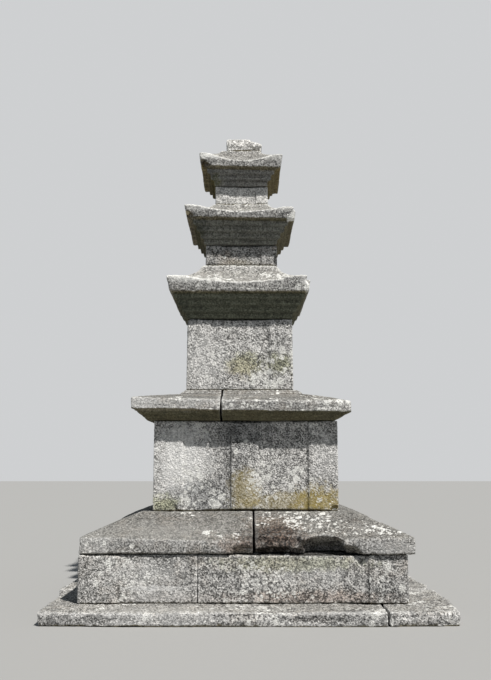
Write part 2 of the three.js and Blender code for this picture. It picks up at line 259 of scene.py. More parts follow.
def new_tree(name, tree_type, inputs, outputs):
    """An empty node tree with named inputs and outputs: its board and its end nodes' sockets."""
    tree = bpy.data.node_groups.new(name, tree_type)
    for in_out, rows in (("INPUT", inputs), ("OUTPUT", outputs)):
        for label, socket_type, *default in rows:
            kind = f"NodeSocket{socket_type}"
            item = tree.interface.new_socket(label, in_out=in_out, socket_type=kind)
            if default:
                item.default_value = default[0]
    board = Board(tree)
    source = board.add("NodeGroupInput").outputs
    end = board.add("NodeGroupOutput").inputs
    return board, source, end


# Shapes

def weathering_tree():
    """Rounds a stone's arrises, chips them, and roughens its faces, always inwards."""
    board, source, end = new_tree("Weathered stone", "GeometryNodeTree", (
        ("Stone", "Geometry"), ("Granite", "Material"),
        ("Edge Wear", "Float", 0.6), ("Wear Reach", "Int", 3), ("Chips", "Float", 0.5),
        ("Swell", "Float", 0.005), ("Grain", "Float", 0.003), ("Bedding", "Float"),
        ("Seed", "Float"), ("Lowest Corner", "Vector"), ("Highest Corner", "Vector"),
    ), (("Stone", "Geometry"),))
    place = board.add("GeometryNodeInputPosition").outputs[0]
    facing = board.add("GeometryNodeInputNormal").outputs[0]
    shift = board.add("ShaderNodeCombineXYZ", {
        "X": source["Seed"], "Y": board.times(source["Seed"], 1.7),
        "Z": board.times(source["Seed"], 2.9),
    }).outputs[0]
    pattern = board.vector("ADD", place, shift)

    def towards_smooth(iterations):
        smooth = board.add("GeometryNodeBlurAttribute", {
            "Value": place, "Iterations": iterations, "Weight": 1.0,
        }, data_type="FLOAT_VECTOR").outputs[0]
        return board.vector("SUBTRACT", smooth, place)

    # Arrises are worn unevenly, and chipped where a second noise is high
    worn = towards_smooth(source["Wear Reach"])
    uneven = board.ramp(board.noise(pattern, *EDGE_WEAR), 0.3, 0.7, 0.35, 1.5)
    wear = board.times(source["Edge Wear"], uneven)
    broad = towards_smooth(board.times(source["Wear Reach"], 6.0))
    chipped = board.ramp(board.noise(pattern, *CHIPPING), 0.57, 0.68)
    chips = board.times(source["Chips"], chipped)
    rounding = board.vector("ADD", board.scaled(worn, wear), board.scaled(broad, chips))

    # Faces swell, are bedded in thin layers, and are pitted
    swell = board.times(source["Swell"], board.minus(board.noise(pattern, *SWELLS), 0.42))
    lumpy = board.ramp(board.noise(pattern, *PITTED_SKIN), 0.36, 0.64)
    grain = board.times(source["Grain"], board.minus(lumpy, 0.35))
    layered = board.vector("MULTIPLY", pattern, BEDS_IN_STONE)
    beds = board.ramp(board.noise(layered, 1.0, 3.0, 0.6), 0.35, 0.65)
    bedding = board.times(source["Bedding"], board.minus(beds, 0.3))
    depth = board.plus(board.plus(swell, grain), bedding)
    offset = board.vector("ADD", rounding, board.scaled(facing, board.times(depth, -1.0)))
    moved = board.vector("MAXIMUM", board.vector("ADD", place, offset), source["Lowest Corner"])
    weathered = board.add("GeometryNodeSetPosition", {
        "Geometry": source["Stone"],
        "Position": board.vector("MINIMUM", moved, source["Highest Corner"]),
    }).outputs[0]
    turned_in = board.vector("DOT_PRODUCT", worn, facing)
    marked = weathered
    for name, way in (("arris", -1), ("hollow", 1)):
        strength = board.ramp(turned_in, *(way * move for move in ARRIS_MOVES))
        marked = board.add("GeometryNodeStoreNamedAttribute", {
            "Geometry": marked, "Name": name, "Value": strength,
        }, data_type="FLOAT", domain="POINT").outputs[0]
    finish_tree(board, marked, source["Granite"], end)
    return board.tree


def finish_tree(board, geometry, granite, end):
    """Ends a tree in plain geometry with its material."""
    real = board.add("GeometryNodeRealizeInstances", {"Geometry": geometry}).outputs[0]
    painted = board.add("GeometryNodeSetMaterial", {"Geometry": real, "Material": granite})
    board.feed(end[0], painted.outputs[0])


def roof_tree():
    """A roof stone by its rule: level square rings from the underside steps to the eave, and
    up a hollow slope to the seat of the next storey."""
    board, source, end = new_tree("Roof stone", "GeometryNodeTree", (
        ("Stone", "Geometry"), ("Granite", "Material"),
        *((name, "Float") for name in ROOF_SIZES),
    ), (("Stone", "Geometry"),))
    step_rows = board.times(source["Step Count"], 2.0)
    slope_start = board.plus(step_rows, 2.0)
    rows = board.plus(slope_start, SLOPE_PARTS + 2.0)
    across = 4 * SIDE_PARTS
    grid = board.add("GeometryNodeMeshGrid", {
        "Size X": float(across), "Size Y": board.minus(rows, 1.0),
        "Vertices X": across + 1, "Vertices Y": rows,
    }).outputs["Mesh"]
    spread = board.add("GeometryNodeInputPosition").outputs[0]
    flat = board.add("ShaderNodeSeparateXYZ", {0: spread})
    column = board.math("ROUND", board.plus(flat.outputs[0], across / 2))
    row = board.math("ROUND", board.plus(flat.outputs[1], board.times(board.minus(rows, 1.0), 0.5)))

    def choose(test, no, yes):
        inputs = {"Switch": test, "False": no, "True": yes}
        return board.add("GeometryNodeSwitch", inputs, input_type="FLOAT").outputs[0]

    def between(low, high, share):
        return board.plus(low, board.times(board.minus(high, low), share))

    # Underside steps
    rise = board.minus(source["Eave Bottom"], source["Underside"])
    riser = board.math("DIVIDE", rise, source["Step Count"])
    level = board.math("FLOOR", board.times(row, 0.5))
    step = board.math("FLOOR", board.times(board.minus(row, 1.0), 0.5))
    step_z = board.plus(source["Underside"], board.times(riser, level))
    step_half = board.plus(source["First Step"], board.times(source["Step Inset"], step))
    step_droop = board.math("DIVIDE", level, source["Step Count"])

    # Slope
    share = board.math("DIVIDE", board.minus(row, slope_start), float(SLOPE_PARTS), clamp=True)
    curve = board.add("ShaderNodeFloatCurve", {"Value": share})
    points = curve.mapping.curves[0].points
    points[0].location, points[1].location = SLOPE_CURVE[0], SLOPE_CURVE[-1]
    for point in SLOPE_CURVE[1:-1]:
        points.new(*point)
    curve.mapping.update()
    slope_z = between(source["Eave Top"], source["Top"], curve.outputs[0])
    slope_half = between(source["Eave Half"], source["Seat Half"], share)
    fade = board.minus(1.0, share)

    # Which rule a row follows
    in_steps = board.math("LESS_THAN", row, board.plus(step_rows, 0.5))
    in_eave = board.math("LESS_THAN", row, board.plus(step_rows, 1.5))
    at_end = board.plus(board.math("LESS_THAN", row, 0.5),
                        board.math("GREATER_THAN", row, board.minus(rows, 1.5)))
    upper_z = choose(in_eave, slope_z, source["Eave Bottom"])
    eave_foot = board.minus(source["Eave Half"], source["Eave Tuck"])
    upper_half = choose(in_eave, slope_half, eave_foot)
    ring_z = choose(in_steps, upper_z, step_z)
    ring_half = choose(at_end, choose(in_steps, upper_half, step_half), 0.0)
    ring_droop = choose(in_steps, choose(in_eave, fade, 1.0), step_droop)
    raised = choose(in_eave, fade, 0.0)
    lift = board.times(source["Corner Lift"], board.math("POWER", raised, source["Lift Fade"]))
    flare = board.times(source["Corner Flare"], raised)

    # The place along each side of the square ring
    side = board.math("FLOOR", board.math("DIVIDE", column, float(SIDE_PARTS)))
    part = board.minus(column, board.times(side, float(SIDE_PARTS)))
    along = board.minus(board.times(part, 2.0 / SIDE_PARTS), 1.0)
    outward = board.math("DIVIDE", board.math("ABSOLUTE", along), CORNER_PLATEAU, clamp=True)
    corner = board.math("POWER", outward, CORNER_SHARPNESS)
    reach = board.plus(ring_half, board.times(flare, corner))
    edge = board.add("ShaderNodeCombineXYZ", {
        "X": board.times(along, reach), "Y": board.times(reach, -1.0),
    }).outputs[0]
    turned = board.add("ShaderNodeVectorRotate", {
        "Vector": edge, "Axis": (0.0, 0.0, 1.0), "Angle": board.times(side, math.pi / 2),
    }).outputs[0]
    turned_x = board.add("ShaderNodeSeparateXYZ", {0: turned}).outputs[0]
    drop = board.times(board.times(source["Droop"], ring_droop), turned_x)
    height = board.minus(board.plus(ring_z, board.times(lift, corner)), drop)
    place = board.vector("ADD", turned, board.add("ShaderNodeCombineXYZ", {
        "X": source["Middle X"], "Z": height,
    }).outputs[0])
    loft = board.add("GeometryNodeSetPosition", {"Geometry": grid, "Position": place}).outputs[0]
    closed = board.add("GeometryNodeMergeByDistance", {"Geometry": loft, "Distance": ROOF_SEAM})
    finish_tree(board, closed.outputs[0], source["Granite"], end)
    return board.tree


def set_inputs(modifier, values):
    """Sets a Geometry Nodes modifier's inputs by the names of its sockets."""
    for item in modifier.node_group.interface.items_tree:
        if item.item_type == "SOCKET" and item.in_out == "INPUT" and item.name in values:
            modifier[item.identifier] = values[item.name]


def new_object(name, mesh):
    piece = bpy.data.objects.new(name, mesh)
    bpy.context.scene.collection.objects.link(piece)
    return piece


def merged_copy(node):
    """A copy of a CAD node's mesh as one closed skin."""
    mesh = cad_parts[node].data.copy()
    form = bmesh.new()
    form.from_mesh(mesh)
    bmesh.ops.remove_doubles(form, verts=form.verts, dist=CAD_SEAM)
    form.to_mesh(mesh)
    form.free()
    return mesh


def broken_lump(name, middle, half_sizes, shift, squareness, roughness):
    """A rough lump that is cut out of a stone where it is broken."""
    form = bmesh.new()
    placed = Matrix.Translation(middle) @ Matrix.Diagonal((*half_sizes, 1.0))
    bmesh.ops.create_icosphere(form, subdivisions=LUMP_ROUNDS, radius=1.0)
    for vert in form.verts:
        rough = noise.fractal(vert.co * LUMP_FINENESS + shift, 0.6, 2.0, 4)
        shaped = [math.copysign(abs(value) ** squareness, value) for value in vert.co]
        vert.co = placed @ (Vector(shaped) * (1.0 + roughness * rough))
    mesh = bpy.data.meshes.new(name)
    form.to_mesh(mesh)
    form.free()
    return new_object(name, mesh)


def course_of(node):
    return next(course for course in COURSES if node.startswith(course))


def weathered_stone(node, mesh, roof=None):
    """Cuts, breaks and weathers one stone, and puts it in the place of its CAD node."""
    settings = bpy.context.scene.pagoda_weather
    course = COURSES[course_of(node)]
    number = sorted(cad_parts).index(node)
    granite = granite_for(course_of(node))
    lowest, highest = (tuple(corner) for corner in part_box(node))
    blank = new_object(f"{node}_blank", mesh)
    helpers = [blank]
    if roof:
        carve = blank.modifiers.new("Roof stone", "NODES")
        carve.node_group = tree_named("Roof stone", roof_tree)
        set_inputs(carve, {"Granite": granite, **roof})
    form = SQUARE_BREAK if node.startswith("lower_cover") else ROUND_BREAK
    for place, (middle, half_sizes) in enumerate(BREAKS.get(node, ())):
        shift = Vector((number + place * 3.1, number * 0.7, place * 1.9))
        lump = broken_lump(f"{node}_break_{place}", middle, half_sizes, shift, **form)
        helpers.append(lump)
        cut = blank.modifiers.new(lump.name, "BOOLEAN")
        cut.operation, cut.solver, cut.object = "DIFFERENCE", "MANIFOLD", lump
    cells = blank.modifiers.new("Cells", "REMESH")
    cells.mode, cells.voxel_size = "VOXEL", course["cell"] * settings.cell_scale
    weather = blank.modifiers.new("Weathered stone", "NODES")
    weather.node_group = tree_named("Weathered stone", weathering_tree)
    set_inputs(weather, {
        "Granite": granite, "Edge Wear": course["edge"] * settings.wear,
        "Wear Reach": course["reach"], "Chips": course["chips"] * settings.wear,
        "Swell": course["swell"] * settings.wear, "Grain": course["grain"] * settings.roughness,
        "Bedding": course["bedding"] * settings.wear, "Seed": number * SEED_STEP,
        "Lowest Corner": lowest, "Highest Corner": highest,
    })
    light = blank.modifiers.new("Fewer faces", "DECIMATE")
    light.ratio = settings.kept_faces
    bpy.context.view_layer.update()
    whole = blank.evaluated_get(bpy.context.evaluated_depsgraph_get())
    shape = bpy.data.meshes.new_from_object(whole)
    shape.name = f"{node}_stone"
    for vert in shape.vertices:
        vert.co = [min(max(value, low), high) for value, low, high in zip(vert.co, lowest, highest)]
    piece = new_object(f"{node}_stone", shape)
    shape.materials.clear()
    shape.materials.append(granite)
    shape.polygons.foreach_set("use_smooth", [True] * len(shape.polygons))
    for helper in helpers:
        bpy.data.objects.remove(helper)
    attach(piece, "root")
    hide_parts(node)


def tree_named(name, build):
    return bpy.data.node_groups.get(name) or build()


def carve_course(*courses):
    for node in sorted(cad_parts):
        if course_of(node) in courses:
            weathered_stone(node, merged_copy(node))


# Granite

# How each course looks: its shade, how much it has of crust, warm clouds, lichen and rain streaks,
# how strongly its grain shows, and what only some courses have. "sheltered" is the height in
# metres below which no rain falls, for a roof its eave's bottom.
LOOK_COLUMNS = ("shade", "crust", "warm", "lichen", "streaks", "grain")
LOOKS = {course: {**dict(zip(LOOK_COLUMNS, row)), **more} for course, row, more in (
    ("ground_stone", (0.84, 0.5, 0.3, 0.35, 0.2, 1.0), {"beds": 0.6}),
    ("lower_wall", (0.81, 0.5, 0.45, 0.35, 0.4, 1.0), {"strokes": 0.3}),
    ("lower_cover", (0.7, 0.32, 0.55, 0.3, 0.0, 0.8), {
        "beds": 0.25, "caps": 0.1, "tops": 0.74, "under": 0.4, "arris": 0.05,
    }),
    ("upper_wall", (1.0, 0.35, 0.1, 0.3, 0.5, 1.0), {"strokes": 0.45}),
    ("upper_cover", (0.83, 0.25, 0.5, 0.15, 0.0, 0.65), {
        "sheltered": 1.259, "grime_and_shade": 0.7, "beds": 0.6, "tops": 0.66, "caps": 0.3, "arris": 0.25,
    }),
    ("first_body", (0.96, 0.25, 0.1, 0.3, 0.2, 1.0), {"strokes": 0.45}),
    ("first_roof", (0.76, 0.35, 0.15, 0.35, 0.0, 0.8), {
        "grime_and_shade": 1.0, "algae": 0.5, "arris": 0.15, "caps": 0.75, "tops": 0.91,
    }),
    ("second_body", (0.65, 0.25, 0.7, 0.1, 0.2, 1.0), {}),
    ("second_roof", (0.68, 0.35, 0.15, 0.35, 0.0, 0.8), {
        "grime_and_shade": 0.58, "algae": 0.75, "arris": 0.15, "caps": 0.9,
    }),
    ("third_body", (1.2, 0.1, 0.1, 0.2, 0.1, 0.6), {"strokes": 0.3}),
    ("third_roof", (0.72, 0.3, 0.15, 0.35, 0.0, 0.8), {
        "grime_and_shade": 0.27, "algae": 1.0, "arris": 0.15, "caps": 0.9, "tops": 0.88,
    }),
    ("finial_base", (1.38, 0.15, 0.1, 0.3, 0.0, 0.7), {}),
)}

# Stains in their places on each course: kind, middle and half sizes in metres, and strength. Some
# are painted shadow or shade. A bloom is painted last, over the dirt and painted shade, and a
# negative strength keeps lichen away.
STAINS = {
    "upper_wall": (
        ("pale", (-0.44, -0.617, 0.934), (0.215, 0.12, 0.255), 0.85),
        ("pale", (0.53, -0.617, 0.944), (0.1, 0.12, 0.195), 0.35),
        ("damp_and_shade", (-0.098, -0.617, 0.963), (0.165, 0.12, 0.35), 0.5),
        ("ochre", (-0.01, -0.617, 0.73), (0.118, 0.12, 0.157), 0.75),
        ("ochre", (0.245, -0.617, 0.662), (0.235, 0.12, 0.078), 0.65),
        ("ochre", (0.49, -0.617, 0.662), (0.19, 0.12, 0.112), 1.15),
        ("moss", (-0.54, -0.617, 0.643), (0.118, 0.12, 0.068), 0.8),
        ("lichen", (0.137, -0.617, 0.915), (0.058, 0.12, 0.128), 0.7),
        ("lichen", (0.195, -0.617, 0.788), (0.235, 0.12, 0.137), 0.35),
        ("damp_and_shade", (0.25, -0.617, 0.93), (0.16, 0.12, 0.22), 0.3),
        ("damp_and_shade", (-0.28, -0.617, 0.71), (0.22, 0.12, 0.12), 0.85),
        # Painted shade: deepens the shadow that the upper cover casts on the middle of the wall
        ("damp_and_shade", (-0.01, -0.617, 1.12), (0.15, 0.12, 0.12), 0.8),
        ("lichen", (-0.405, -0.617, 0.665), (0.03, 0.12, 0.05), 1.0),
        ("lichen", (0.055, -0.617, 0.79), (0.07, 0.12, 0.1), 0.6),
        # Painted shadow along the pillars' left edges, which face away from the key light
        ("crevice_dirt_and_shade", (-0.105, -0.617, 0.92), (0.006, 0.05, 0.34), 0.7),
        ("crevice_dirt_and_shade", (0.41, -0.617, 0.9), (0.006, 0.05, 0.32), 0.7),
        ("lichen", (-0.176, -0.617, 0.672), (0.098, 0.12, 0.078), 0.9),
    ),
    "first_body": (
        ("moss", (0.0, -0.377, 1.602), (0.15, 0.1, 0.09), 0.75),
        ("moss", (0.23, -0.377, 1.615), (0.1, 0.1, 0.08), 0.75),
        ("rust", (-0.03, -0.377, 1.58), (0.12, 0.1, 0.08), 0.35),
        ("lichen", (0.17, -0.377, 1.505), (0.17, 0.1, 0.1), 0.7),
        ("pale", (-0.3, -0.377, 1.645), (0.16, 0.1, 0.26), 0.35),
        ("damp_and_shade", (0.225, -0.377, 1.68), (0.08, 0.1, 0.24), 0.35),
        # Painted shadow along the right pillar's left edge; the fainter line in the left pillar's
        # corner is dirt
        ("crevice_dirt_and_shade", (0.166, -0.377, 1.66), (0.008, 0.05, 0.24), 0.8),
        ("crevice_dirt_and_shade", (-0.258, -0.377, 1.66), (0.007, 0.05, 0.24), 0.4),
    ),
    "second_body": (
        # Painted shadow along the right pillar's left edge; the fainter line in the left pillar's
        # corner is dirt
        ("crevice_dirt_and_shade", (0.108, -0.262, 2.43), (0.007, 0.05, 0.08), 0.8),
        ("crevice_dirt_and_shade", (-0.182, -0.262, 2.43), (0.007, 0.05, 0.08), 0.4),
        ("ochre", (-0.05, -0.261, 2.368), (0.14, 0.06, 0.03), 0.3),
    ),
    "third_body": (
        # Painted shadow along the right pillar's left edge; the fainter line in the left pillar's
        # corner is dirt
        ("crevice_dirt_and_shade", (0.07, -0.198, 2.91), (0.006, 0.05, 0.07), 0.8),
        ("crevice_dirt_and_shade", (-0.142, -0.198, 2.91), (0.006, 0.05, 0.07), 0.5),
    ),
    "lower_wall": (
        # Painted shadow along the right pillar's left edge
        ("crevice_dirt_and_shade", (0.739, -1.0, 0.22), (0.008, 0.05, 0.12), 0.8),
        ("pale", (-0.6, -1.0, 0.25), (0.27, 0.12, 0.1), 0.4),
        # Painted shadow on the wall's top under the broken cover stone
        ("crevice_dirt_and_shade", (0.36, -0.945, 0.372), (0.5, 0.06, 0.014), 1.5),
        ("crevice_dirt_and_shade", (0.36, -0.95, 0.372), (0.48, 0.06, 0.014), 1.5),
        ("pale", (0.404, -1.0, 0.262), (0.25, 0.12, 0.087), 0.35),
        ("pale", (-0.576, -1.0, 0.172), (0.24, 0.12, 0.017), 0.9),
        ("pale", (-0.54, -1.0, 0.12), (0.26, 0.12, 0.034), 0.6),
        ("rust", (0.096, -1.0, 0.115), (0.9, 0.12, 0.036), 0.15),
        ("rust", (0.42, -1.0, 0.118), (0.46, 0.12, 0.045), 0.55),
        ("damp_and_shade", (0.87, -1.0, 0.145), (0.15, 0.12, 0.07), 0.55),
        ("moss", (0.288, -1.0, 0.319), (0.48, 0.12, 0.058), 0.5),
    ),
    "lower_cover": (
        ("rust", (0.17, -0.86, 0.521), (0.18, 0.19, 0.115), 0.7),
        ("rust", (-0.048, -1.01, 0.433), (0.154, 0.115, 0.067), 0.7),
        ("pitted", (0.165, -0.95, 0.46), (0.21, 0.16, 0.11), 1.0),
        ("damp_and_shade", (0.155, -0.955, 0.46), (0.19, 0.13, 0.11), 0.7),
        ("damp_and_shade", (0.085, -0.99, 0.44), (0.08, 0.08, 0.08), 0.8),
        ("rust", (0.17, -0.96, 0.455), (0.2, 0.15, 0.11), 1.0),
        # Painted shade inside the broken hollow under the eave
        ("crevice_dirt_and_shade", (0.2, -0.945, 0.375), (0.16, 0.045, 0.035), 0.8),
        ("pale", (-0.55, -0.88, 0.49), (0.45, 0.18, 0.08), 0.45),
        ("lichen", (0.43, -0.85, 0.531), (0.2, 0.154, 0.09), 0.45),
        ("lichen", (0.7, -0.89, 0.511), (0.17, 0.13, 0.09), 0.35),
        ("lichen", (0.85, -0.93, 0.49), (0.15, 0.1, 0.07), 0.5),
        ("lichen", (-0.045, -0.96, 0.47), (0.045, 0.08, 0.05), 0.7),
        ("lichen", (0.13, -0.94, 0.46), (0.17, 0.12, 0.09), -1.5),
        ("lichen", (-0.64, -0.88, 0.48), (0.48, 0.22, 0.12), -0.5),
        ("pale", (0.88, -1.02, 0.41), (0.14, 0.06, 0.05), 0.5),
        ("lichen", (-0.213, -0.933, 0.491), (0.067, 0.039, 0.029), 1.0),
        ("pale", (-0.926, -0.962, 0.434), (0.135, 0.192, 0.077), 0.4),
    ),
    "upper_cover": (
        ("pale", (-0.688, -0.687, 1.314), (0.1, 0.157, 0.05), 0.6),
        ("pale", (-0.45, -0.72, 1.3), (0.26, 0.1, 0.06), 0.35),
        ("damp_and_shade", (-0.35, -0.66, 1.345), (0.4, 0.12, 0.04), 0.4),
        ("damp_and_shade", (0.25, -0.72, 1.3), (0.4, 0.12, 0.06), 0.35),
        ("lichen", (0.54, -0.706, 1.323), (0.196, 0.137, 0.06), 0.2),
    ),
    "first_roof": (
        ("lichen", (-0.14, -0.397, 2.227), (0.24, 0.12, 0.06), 0.3),
        ("bloom", (-0.45, -0.5, 2.205), (0.14, 0.08, 0.032), 0.6),
        ("pale", (-0.45, -0.49, 2.21), (0.17, 0.08, 0.04), 1.2),
        ("pale", (0.435, -0.5, 2.185), (0.06, 0.08, 0.05), 1.2),
        ("bloom", (0.445, -0.495, 2.15), (0.04, 0.07, 0.05), 1.2),
        # Painted shade on the roof's left side, away from the key light
        ("damp_and_shade", (-0.47, 0.0, 2.05), (0.14, 0.6, 0.12), 0.7),
    ),
    "second_roof": (
        ("pale", (-0.34, -0.38, 2.762), (0.13, 0.08, 0.03), 1.0),
        ("pale", (0.345, -0.395, 2.69), (0.036, 0.06, 0.045), 1.0),
        ("bloom", (0.345, -0.4, 2.666), (0.052, 0.06, 0.044), 1.5),
        ("bloom", (-0.4, -0.39, 2.765), (0.05, 0.06, 0.03), 0.4),
        ("bloom", (0.25, -0.385, 2.748), (0.11, 0.06, 0.02), 0.4),
        ("damp_and_shade", (0.28, -0.395, 2.7), (0.06, 0.05, 0.03), 0.4),
        ("damp_and_shade", (-0.04, -0.4, 2.71), (0.42, 0.06, 0.026), 0.4),
        # Painted shade on the roof's left side, away from the key light
        ("damp_and_shade", (-0.36, 0.0, 2.62), (0.11, 0.5, 0.11), 0.7),
        ("moss", (-0.38, 0.0, 2.6), (0.07, 0.5, 0.07), 0.7),
        # Painted shade inside the broken corner, with a brown tint
        ("crevice_dirt_and_shade", (-0.425, -0.4, 2.7), (0.04, 0.05, 0.032), 1.0),
        ("warm", (-0.425, -0.4, 2.7), (0.042, 0.05, 0.034), 1.0),
    ),
    "third_roof": (
        ("bloom", (-0.325, -0.3, 3.185), (0.09, 0.08, 0.03), 0.7),
        ("bloom", (0.205, -0.285, 3.174), (0.11, 0.07, 0.024), 0.5),
        ("damp_and_shade", (0.22, -0.3, 3.115), (0.09, 0.06, 0.032), 0.4),
        ("pale", (-0.26, -0.29, 3.185), (0.13, 0.08, 0.03), 1.0),
        ("pale", (0.245, -0.29, 3.165), (0.03, 0.06, 0.045), 0.4),
        # Painted shade on the roof's left side, away from the key light
        ("damp_and_shade", (-0.29, 0.0, 3.06), (0.09, 0.4, 0.08), 0.7),
        ("moss", (-0.24, 0.0, 3.02), (0.06, 0.4, 0.07), 1.0),
        # Painted shade inside the broken corner, with a brown tint
        ("crevice_dirt_and_shade", (-0.325, -0.3, 3.12), (0.048, 0.05, 0.034), 1.2),
        ("warm", (-0.325, -0.3, 3.12), (0.05, 0.05, 0.036), 1.0),
    ),
    "ground_stone": (
        ("pale", (-0.5, -1.22, 0.06), (0.38, 0.15, 0.08), 0.4),
    ),
}

# Lichen of two sizes: rosettes for each metre, their least cover, and how strongly they show
LICHENS = ((24.0, 0.4, 0.8), (58.0, 0.3, 0.7))

# Noise patterns of the granite: features for each metre, detail, roughness and distortion, and for
# strokes, streaks and beds how far noise is squeezed across, in depth and in height
CRYSTALS = 150.0
MOTTLE = (98.0, 3.0, 0.6)
CLOUDS = (22.0, 5.0, 0.65)
PITS = (100.0, 2.0, 0.5)
PITTED_PATCHES = (75.0, 3.0, 0.6)
RELIEF = (95.0, 3.0, 0.6)
CHISEL_STROKES = (42.0, 100.0, 105.0)
CHISEL_SLANT = -0.75
LICHEN_CLUSTERS = (3.2, 4.0, 0.6)
LICHEN_CRUMBS = (110.0, 4.0, 0.7)
STAIN_FRINGE = (24.0, 6.0, 0.75)
CRUST = (5.0, 8.0, 0.7, 0.4)
RAIN_STREAKS = (9.0, 9.0, 1.1)
WARM_CLOUDS = (6.5, 6.0, 0.7)
THIN_BEDS = (5.0, 5.0, 75.0)
SHELTER_RIM = (30.0, 4.0, 0.6)

# How strongly the effects that all courses share show
FLECK_SHARE = 0.6
STREAK_SHARE = 0.6
OCHRE_SHARE = 0.75
# Pale arrises, partly wear and partly a painted highlight
ARRIS_HIGHLIGHT_SHARE = 0.35
HOLLOW_SHARE = 0.6
# Painted shade under a roof's step treads
TREAD_SHADE_SHARE = 0.42
LAYER_SHARE = 0.45
LICHEN_RELIEF = 0.25
SURFACE_DEPTH = 0.008


def speckle_group():
    """Granite's crystals and pits: a tone from 0 to 1, dark flecks and a height."""
    board, source, end = new_tree("Granite grain", "ShaderNodeTree", (
        ("Vector", "Vector"), ("Strokes", "Float"),
    ), (("Tone", "Float"), ("Flecks", "Float"), ("Height", "Float"), ("Pits", "Float")))
    spot = source["Vector"]
    crystals = board.add("ShaderNodeTexVoronoi", {"Vector": spot, "Scale": CRYSTALS})
    crystal = board.add("ShaderNodeSeparateColor", {0: crystals.outputs["Color"]}).outputs[0]

    # Slanting chisel strokes stand in for part of the mottle
    slanted = board.add("ShaderNodeVectorRotate", {
        "Vector": spot, "Axis": (0.0, 1.0, 0.0), "Angle": CHISEL_SLANT,
    }).outputs[0]
    strokes = board.noise(board.vector("MULTIPLY", slanted, CHISEL_STROKES), 1.0, 3.0, 0.6)
    mottle = board.noise(spot, *MOTTLE)
    mottle = board.plus(mottle, board.times(board.minus(strokes, mottle), source["Strokes"]))
    clouds = board.noise(spot, *CLOUDS)
    tone = board.plus(board.times(mottle, 0.7), board.times(clouds, 0.3))
    tone = board.plus(tone, board.times(board.minus(crystal, 0.5), 0.16))
    board.feed(end["Tone"], board.ramp(tone, 0.42, 0.58))
    pits = board.ramp(board.noise(spot, *PITS), 0.56, 0.66)
    board.feed(end["Pits"], board.ramp(board.noise(spot, *PITTED_PATCHES), 0.46, 0.56))
    dark = board.ramp(crystal, 0.86, 0.92)
    # Flecks: dark crystals, and pits darkened as painted shade
    board.feed(end["Flecks"], board.math("MAXIMUM", pits, board.times(dark, 0.7)))
    rough = board.noise(spot, *RELIEF)
    board.feed(end["Height"], board.minus(rough, board.times(pits, 0.4)))
    return board.tree


def lichen_group():
    """Round crusts of lichen with ragged rims, in loose clusters."""
    board, source, end = new_tree("Lichen rosettes", "ShaderNodeTree", (
        ("Vector", "Vector"), ("Scale", "Float", 16.0), ("Cover", "Float", 0.4),
        ("Zone", "Float"),
    ), (("Mask", "Float"),))
    warp = board.add("ShaderNodeTexNoise", {
        "Vector": source["Vector"], "Scale": 60.0, "Detail": 4.0, "Roughness": 0.7,
    }).outputs["Color"]
    bent = board.vector("ADD", source["Vector"], board.scaled(
        board.vector("SUBTRACT", warp, (0.5, 0.5, 0.5)), 0.02))
    cells = board.add("ShaderNodeTexVoronoi", {"Vector": bent, "Scale": source["Scale"]})
    size = board.add("ShaderNodeSeparateColor", {0: cells.outputs["Color"]}).outputs[1]
    cluster = board.ramp(board.noise(source["Vector"], *LICHEN_CLUSTERS), 0.42, 0.62)
    density = board.plus(board.times(cluster, source["Cover"]), source["Zone"])
    radius = board.times(board.math("POWER", size, 1.4), density)
    inside = board.minus(radius, cells.outputs["Distance"])
    mask = board.ramp(inside, -0.02, 0.05)
    broken = board.ramp(board.noise(source["Vector"], *LICHEN_CRUMBS), 0.36, 0.5)
    board.feed(end["Mask"], board.times(mask, broken))
    return board.tree


def stain_group():
    """A soft-edged stain with its own middle and half sizes, broken up by noise."""
    board, source, end = new_tree("Placed stain", "ShaderNodeTree", (
        ("Vector", "Vector"), ("Middle", "Vector"), ("Half Sizes", "Vector"),
        ("Strength", "Float", 1.0),
    ), (("Mask", "Float"),))
    away = board.vector("SUBTRACT", source["Vector"], source["Middle"])
    distance = board.vector("LENGTH", board.vector("DIVIDE", away, source["Half Sizes"]))
    ragged = board.noise(source["Vector"], *STAIN_FRINGE)
    fringe = board.times(board.minus(ragged, 0.5), 2.6)
    mask = board.ramp(board.plus(distance, fringe), 1.25, 0.45)
    board.feed(end["Mask"], board.times(mask, source["Strength"]))
    return board.tree


